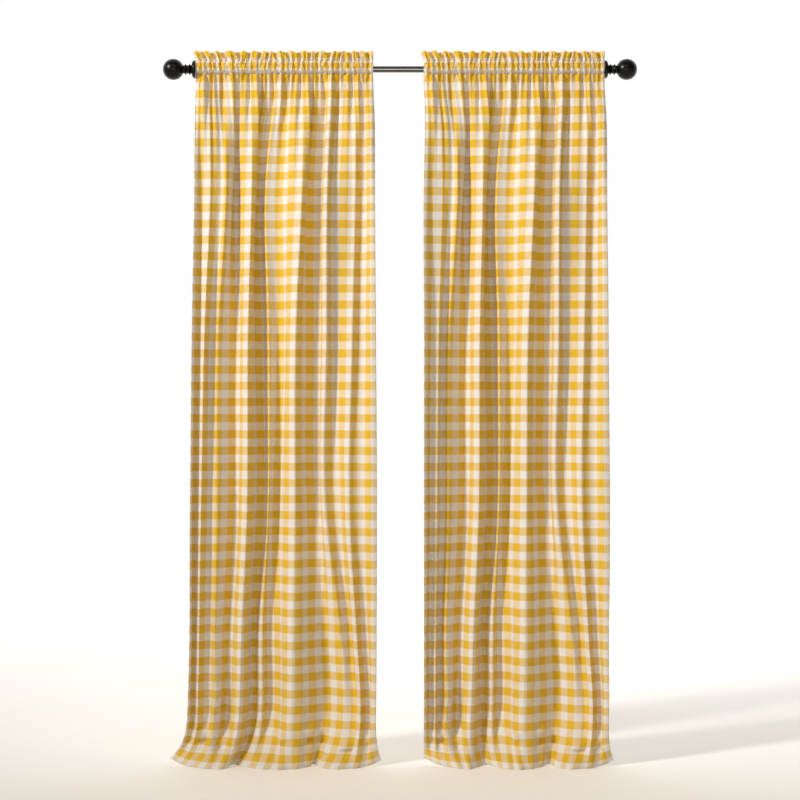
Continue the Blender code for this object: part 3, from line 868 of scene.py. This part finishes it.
# Lamps: kind, place and aim in metres, size, watts. A spot's size is its radius and its cone in
# degrees. The key is a spot 8 m away on the left, and the foot of the curtains lies in its
# soft edge.
lamps = {
    "key": {
        "kind": "SPOT", "place": (-6.0, -4.4, 3.08), "aim": (0.0, 0.0, 0.2),
        "size": (0.6, 46.5), "power": 2410.0,
    },
    "top": {
        "kind": "AREA", "place": (0.0, -2.2, 1.4), "aim": (0.0, 0.0, -0.9),
        "size": (2.0, 0.7), "power": 8.0,
    },
    "front": {
        "kind": "AREA", "place": (0.0, -3.5, -0.55), "aim": (0.0, 0.0, -0.55),
        "size": (0.4, 1.6), "power": 12.0,
    },
}


def turnTowards(way):
    # angles that turn a lamp from pointing straight down to pointing along the way given
    across = math.hypot(way[0], way[1])
    return (math.atan2(across, -way[2]), 0.0, math.atan2(-way[0], way[1]))


def makeStudio():
    size = studio["floorSize"]
    height = cloth["floor"] * mm
    corners = np.array((
        (-size, -size, height), (size, -size, height), (size, size, height), (-size, size, height),
    ))
    floor = meshFrom("floor", corners, np.array([[0, 1, 2, 3]]))
    material, tree, shader = newMaterial("pale matt floor")
    shader.inputs["Base Color"].default_value = linearColour(studio["floor"])
    shader.inputs["Roughness"].default_value = 0.9
    # painted glow: the floor emits light of its own far behind the curtains and far in front of them, so
    # that it meets the white background without an edge from either side
    place = addNode(tree, "ShaderNodeTexCoord")
    axes = addNode(tree, "ShaderNodeSeparateXYZ", links={"Vector": place.outputs["Object"]})
    moved = addNode(tree, "ShaderNodeMath", {"operation": "ADD", 1: -studio["glowMiddle"]},
                    {0: axes.outputs["Y"]})
    away = addNode(tree, "ShaderNodeMath", {"operation": "ABSOLUTE"}, {0: moved.outputs[0]})
    glow = addNode(tree, "ShaderNodeMapRange",
                   {"From Min": studio["glowStart"], "From Max": studio["glowFull"],
                    "To Min": 0.0, "To Max": studio["floorGlow"]},
                   {"Value": away.outputs[0]})
    # painted glow: emission strength set by distance along Y, not a lamp
    tree.links.new(glow.outputs["Result"], shader.inputs["Emission Strength"])
    shader.inputs["Emission Color"].default_value = (1.0, 1.0, 1.0, 1.0)
    floor.data.materials.append(material)

    # A white background. Its light is white from behind, and dim and warm from the room
    # side, so that the lamps shape the folds.
    world = bpy.data.worlds.new("studio")
    world.use_nodes = True
    sky = world.node_tree
    place = addNode(sky, "ShaderNodeTexCoord")
    axes = addNode(sky, "ShaderNodeSeparateXYZ", links={"Vector": place.outputs["Generated"]})
    first, last = studio["sideBlend"]
    behind = addNode(sky, "ShaderNodeMapRange", {"From Min": first, "From Max": last},
                     {"Value": axes.outputs["Y"]})
    lit = addNode(sky, "ShaderNodeMix",
                  {"data_type": "RGBA", 6: studio["roomSide"], 7: studio["backSide"]},
                  {0: behind.outputs["Result"]})
    path = addNode(sky, "ShaderNodeLightPath")
    seen = addNode(sky, "ShaderNodeMix", {"data_type": "RGBA", 7: (1.0, 1.0, 1.0, 1.0)},
                   {0: path.outputs["Is Camera Ray"], 6: lit.outputs[2]})
    sky.links.new(seen.outputs[2], sky.nodes["Background"].inputs["Color"])
    bpy.context.scene.world = world
    bpy.context.scene.view_settings.view_transform = "Standard"

    for name, lamp in lamps.items():
        light = bpy.data.lights.new(name, lamp["kind"])
        light.energy = lamp["power"]
        light.color = studio["lampColour"]
        if lamp["kind"] == "SPOT":
            light.shadow_soft_size = lamp["size"][0]
            light.spot_size = math.radians(lamp["size"][1])
            light.spot_blend = 1.0
        else:
            light.shape = "RECTANGLE"
            light.size, light.size_y = lamp["size"]
        item = bpy.data.objects.new(name, light)
        item.location = lamp["place"]
        item.rotation_euler = turnTowards(np.array(lamp["aim"]) - np.array(lamp["place"]))
        bpy.context.scene.collection.objects.link(item)

    camera = bpy.data.cameras.new("camera")
    camera.lens = studio["lens"]
    camera.sensor_width = studio["sensor"]
    camera.sensor_fit = "HORIZONTAL"
    item = bpy.data.objects.new("camera", camera)
    item.location = studio["camera"]
    item.rotation_euler = (math.pi / 2, 0.0, 0.0)
    bpy.context.scene.collection.objects.link(item)
    bpy.context.scene.camera = item
    print("studio made")


makeStudio()
cotton = makeCotton()
thread = makeThread()
lacquer = makeLacquer("black lacquered steel", "#070707", 0.14, 1.0, 1.9, 0.05)
turnedLacquer = makeLacquer("black lacquered resin", "#040405", 0.3, 0.3, 1.4, 0.3)
makeRod(lacquer)
makeFinial("finial_left", -1, turnedLacquer)
makeFinial("finial_right", 1, turnedLacquer)
print("rod and finials made")
for panel in panels:
    makePanel(panel, cotton, thread)
